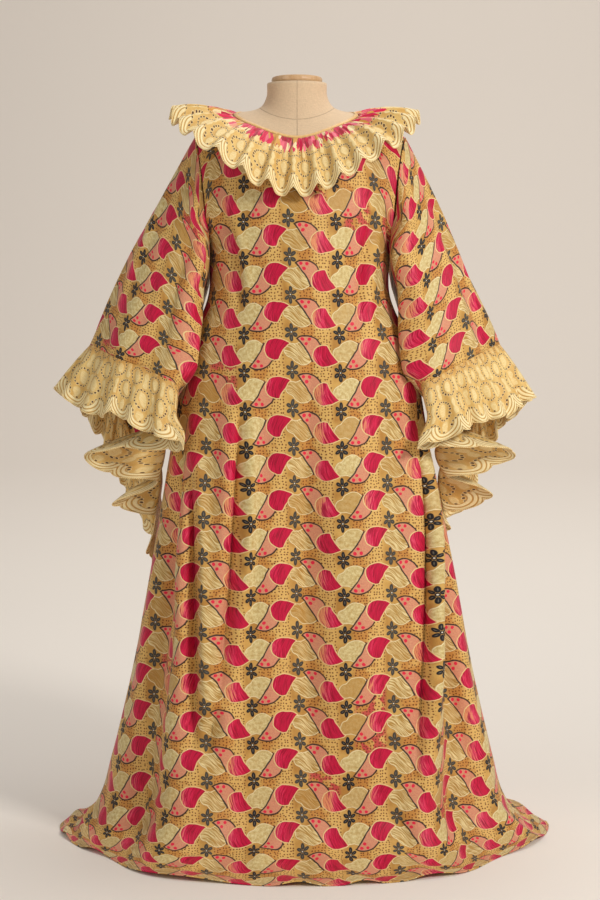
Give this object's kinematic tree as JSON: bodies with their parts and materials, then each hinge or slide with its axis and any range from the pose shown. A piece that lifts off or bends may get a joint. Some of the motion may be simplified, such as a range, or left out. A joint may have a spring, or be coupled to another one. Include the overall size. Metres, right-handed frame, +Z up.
{
  "type": "dress on a limbless dress form",
  "caption": "Floor-length wide-sleeved gown of embroidered voile with gathered lace collar and cuff ruffles, shown on a limbless dress form with a pole and round base.",
  "frame": {"origin": "Centre of the whole outline's bounding box, on the floor that the base and the hem stand on.", "axes": "+X is the viewer's right when facing the front of the dress, +Y runs from the front to the back, +Z is up."},
  "size_m": [1.0064, 0.8498, 1.5123],
  "materials": {
    "embroidered_voile": "soft voile with a slight sheen, embroidered in cream, crimson, salmon and black",
    "eyelet_lace": "soft open lace with corded scallops",
    "satin_binding": "narrow satin binding",
    "form_linen": "smooth tight linen",
    "form_wood": "satin varnish",
    "form_steel": "satin silver paint"
  },
  "bodies": {
    "root": {"front_panel": "embroidered_voile", "back_panel": "embroidered_voile", "sleeve_left": "embroidered_voile", "sleeve_right": "embroidered_voile", "collar_ruffle": "eyelet_lace", "cuff_ruffle_left": "eyelet_lace", "cuff_ruffle_right": "eyelet_lace", "neck_binding": "satin_binding", "form_torso": "form_linen", "form_cap": "form_wood", "form_pole": "form_steel", "form_base": "form_steel"}
  },
  "joints": []
}
